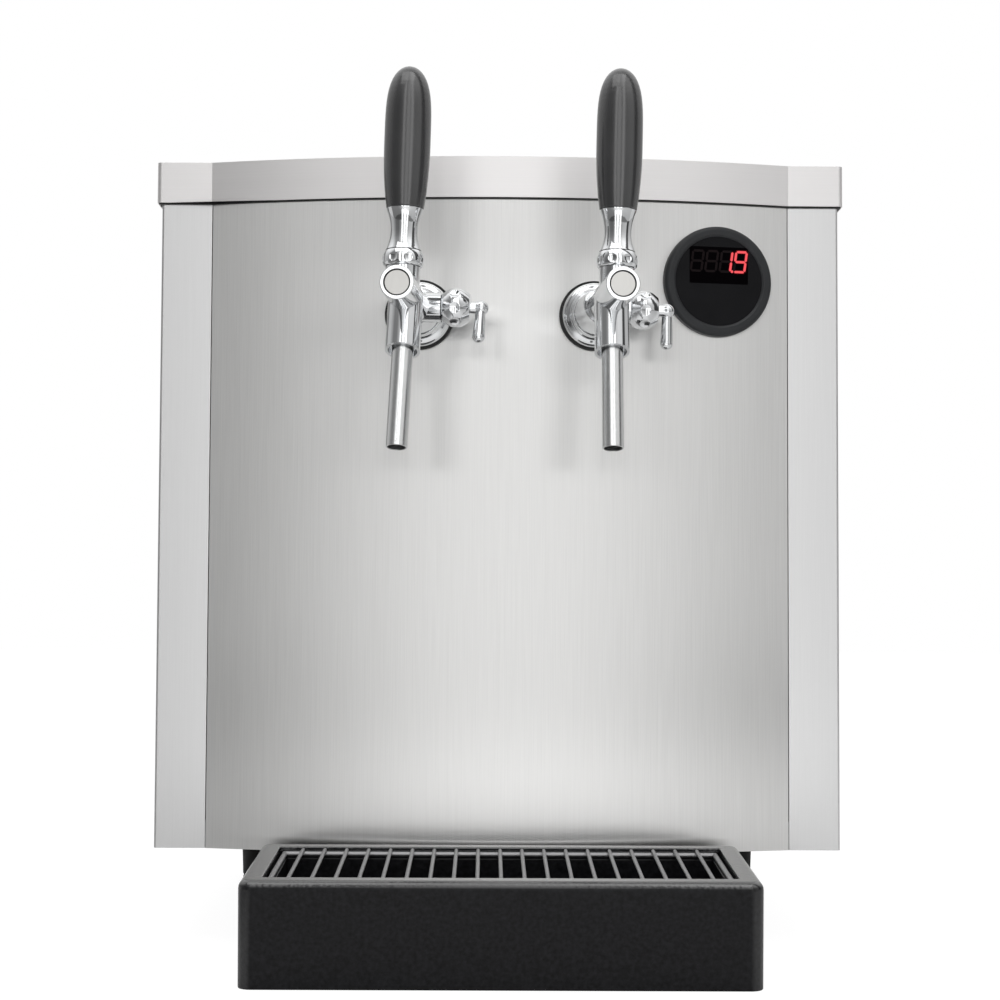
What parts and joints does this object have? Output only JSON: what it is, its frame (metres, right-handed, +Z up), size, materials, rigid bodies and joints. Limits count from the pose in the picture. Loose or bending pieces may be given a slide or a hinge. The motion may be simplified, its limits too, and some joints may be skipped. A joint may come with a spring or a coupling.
{
  "type": "draft beer cooler",
  "caption": "Counter-top draft beer cooler with a bowed brushed steel front, chrome compensator taps with black grips, a round digital thermometer and a loose black drip tray with wire grid.",
  "frame": {"origin": "on the counter under the middle of the bounding box", "axes": "+Z up, the tapped front faces -Y, +X to the right seen from the front"},
  "size_m": [0.454, 0.6164, 0.5445],
  "materials": {
    "front_steel": "vertical brushed",
    "side_steel": "fine brushed",
    "lid_steel": "soft satin",
    "galvanised": "galvanised",
    "foot_plastic": "moulded",
    "black_rubber": "matte",
    "zinc": "zinc plated",
    "compressor_paint": "gloss black",
    "fin_aluminium": "plain",
    "shroud_steel": "dark grey",
    "motor_black": "moulded",
    "block_aluminium": "cast",
    "foam": "foam",
    "line_steel": "polished",
    "copper": "copper",
    "brass": "turned",
    "mains_plastic": "moulded",
    "rocker_red": "gloss",
    "bezel_plastic": "satin",
    "lens_black": "polished",
    "chrome": "mirror",
    "plug_steel": "turned",
    "spout_steel": "polished",
    "grip_black": "gloss",
    "tray_plastic": "grained",
    "wire_steel": "drawn wire"
  },
  "bodies": {
    "cabinet": {"base_pan": "galvanised", "feet": "foot_plastic", "foot_pads": "black_rubber", "foot_nuts": "zinc", "front_panel": "front_steel", "side_panel_left": "side_steel", "side_panel_right": "side_steel", "rear_panel": "side_steel", "lid": "lid_steel", "lid_seal": "black_rubber", "cabinet_screws": "zinc", "compressor": "compressor_paint", "compressor_grommets": "black_rubber", "condenser": "fin_aluminium", "fan_shroud": "shroud_steel", "fan_motor": "motor_black", "cold_block": "block_aluminium", "cold_block_jacket": "foam", "product_line_left": "line_steel", "product_line_right": "line_steel", "refrigerant_pipes": "copper", "filter_drier": "copper", "inlet_fittings": "line_steel", "mains_inlet": "mains_plastic", "switch_frame": "mains_plastic", "meter_bezel": "bezel_plastic", "meter_lens": "lens_black", "meter_housing": "bezel_plastic", "meter_nut": "bezel_plastic", "tap_gaskets": "black_rubber", "tap_flanges": "chrome", "tap_shanks": "line_steel", "shank_nuts": "brass", "lever_pins": "zinc", "left_tap_body": "chrome", "left_tap_plug": "plug_steel", "left_spout": "spout_steel", "left_collar_nut": "chrome", "left_bonnet": "chrome", "right_tap_body": "chrome", "right_tap_plug": "plug_steel", "right_spout": "spout_steel", "right_collar_nut": "chrome", "right_bonnet": "chrome"},
    "left_handle": {"left_lever": "spout_steel", "left_ferrule": "chrome", "left_grip": "grip_black"},
    "left_valve": {"left_plunger": "spout_steel", "left_plunger_seal": "black_rubber"},
    "left_compensator": {"left_compensator_lever": "chrome"},
    "right_handle": {"right_lever": "spout_steel", "right_ferrule": "chrome", "right_grip": "grip_black"},
    "right_valve": {"right_plunger": "spout_steel", "right_plunger_seal": "black_rubber"},
    "right_compensator": {"right_compensator_lever": "chrome"},
    "fan": {"fan_impeller": "motor_black"},
    "rocker": {"switch_rocker": "rocker_red"},
    "tray": {"drip_tray": "tray_plastic"},
    "grid": {"drip_grid": "wire_steel"}
  },
  "joints": [
    {"name": "left_handle_pull", "type": "hinge", "parent": "cabinet", "child": "left_handle", "pos_m": [-0.05883, -0.26262, 0.42399], "axis": [0.9957, -0.0889, -0.0244], "range_deg": [0, 25]},
    {"name": "left_plunger_slide", "type": "slide", "parent": "cabinet", "child": "left_valve", "axis": [0.0882, 0.9957, -0.0297], "range_m": [0, 0.0049]},
    {"name": "left_compensator_turn", "type": "hinge", "parent": "cabinet", "child": "left_compensator", "pos_m": [-0.0541, -0.20481, 0.40626], "axis": [0.9957, -0.0889, -0.0244], "range_deg": [-158, 22]},
    {"name": "right_handle_pull", "type": "hinge", "parent": "cabinet", "child": "right_handle", "pos_m": [0.06972, -0.26175, 0.42399], "axis": [0.9947, 0.0999, -0.0244], "range_deg": [0, 25]},
    {"name": "right_plunger_slide", "type": "slide", "parent": "cabinet", "child": "right_valve", "axis": [-0.1006, 0.9945, -0.0297], "range_m": [0, 0.0049]},
    {"name": "right_compensator_turn", "type": "hinge", "parent": "cabinet", "child": "right_compensator", "pos_m": [0.06349, -0.20408, 0.40626], "axis": [0.9947, 0.0999, -0.0244], "range_deg": [-180, 0]},
    {"name": "fan_spin", "type": "hinge", "parent": "cabinet", "child": "fan", "pos_m": [0.096, 0.21424, 0.1615], "axis": [0, 1, 0], "continuous": true},
    {"name": "switch_rock", "type": "hinge", "parent": "cabinet", "child": "rocker", "pos_m": [0.11, 0.28824, 0.412], "axis": [1, 0, 0], "range_deg": [-18, 0]},
    {"name": "tray_pull", "type": "slide", "parent": "cabinet", "child": "tray", "axis": [0, -1, 0], "range_m": [0, 0.15]},
    {"name": "grid_lift", "type": "slide", "parent": "tray", "child": "grid", "axis": [0, -0.0523, 0.9986], "range_m": [0, 0.06]}
  ],
  "couplings": [
    {"joint": "left_plunger_slide", "follows": "left_handle_pull", "m_per_rad": 0.0112},
    {"joint": "right_plunger_slide", "follows": "right_handle_pull", "m_per_rad": 0.0112}
  ]
}
